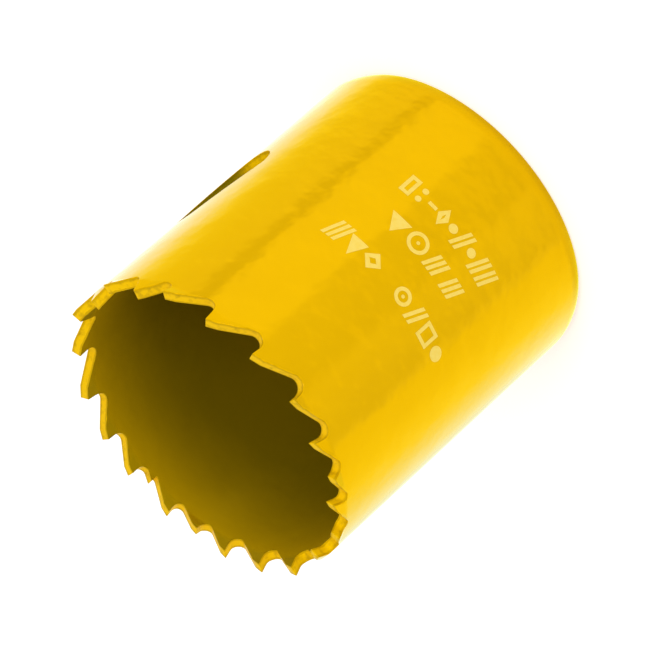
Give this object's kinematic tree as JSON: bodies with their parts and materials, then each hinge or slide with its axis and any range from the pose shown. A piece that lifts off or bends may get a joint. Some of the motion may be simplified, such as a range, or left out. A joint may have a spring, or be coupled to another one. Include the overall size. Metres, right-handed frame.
{
  "type": "hole saw",
  "caption": "Cup-shaped hole saw: a rolled steel wall with raked, set teeth and a slanted chip slot, closed at the back by a welded end plate with a threaded centre hole and drive-pin holes.",
  "frame": {"origin": "centre of the back face, on the saw's axis", "axes": "+Z along the axis towards the teeth, +X through the middle of the chip slot"},
  "size_m": [0.0397, 0.04, 0.0436],
  "materials": {
    "toothed_wall": "glossy golden yellow paint over steel, inside, teeth and slot included",
    "end_plate": "glossy golden yellow paint over steel"
  },
  "bodies": {
    "root": {"toothed_wall": "toothed_wall", "end_plate": "end_plate"}
  },
  "joints": []
}
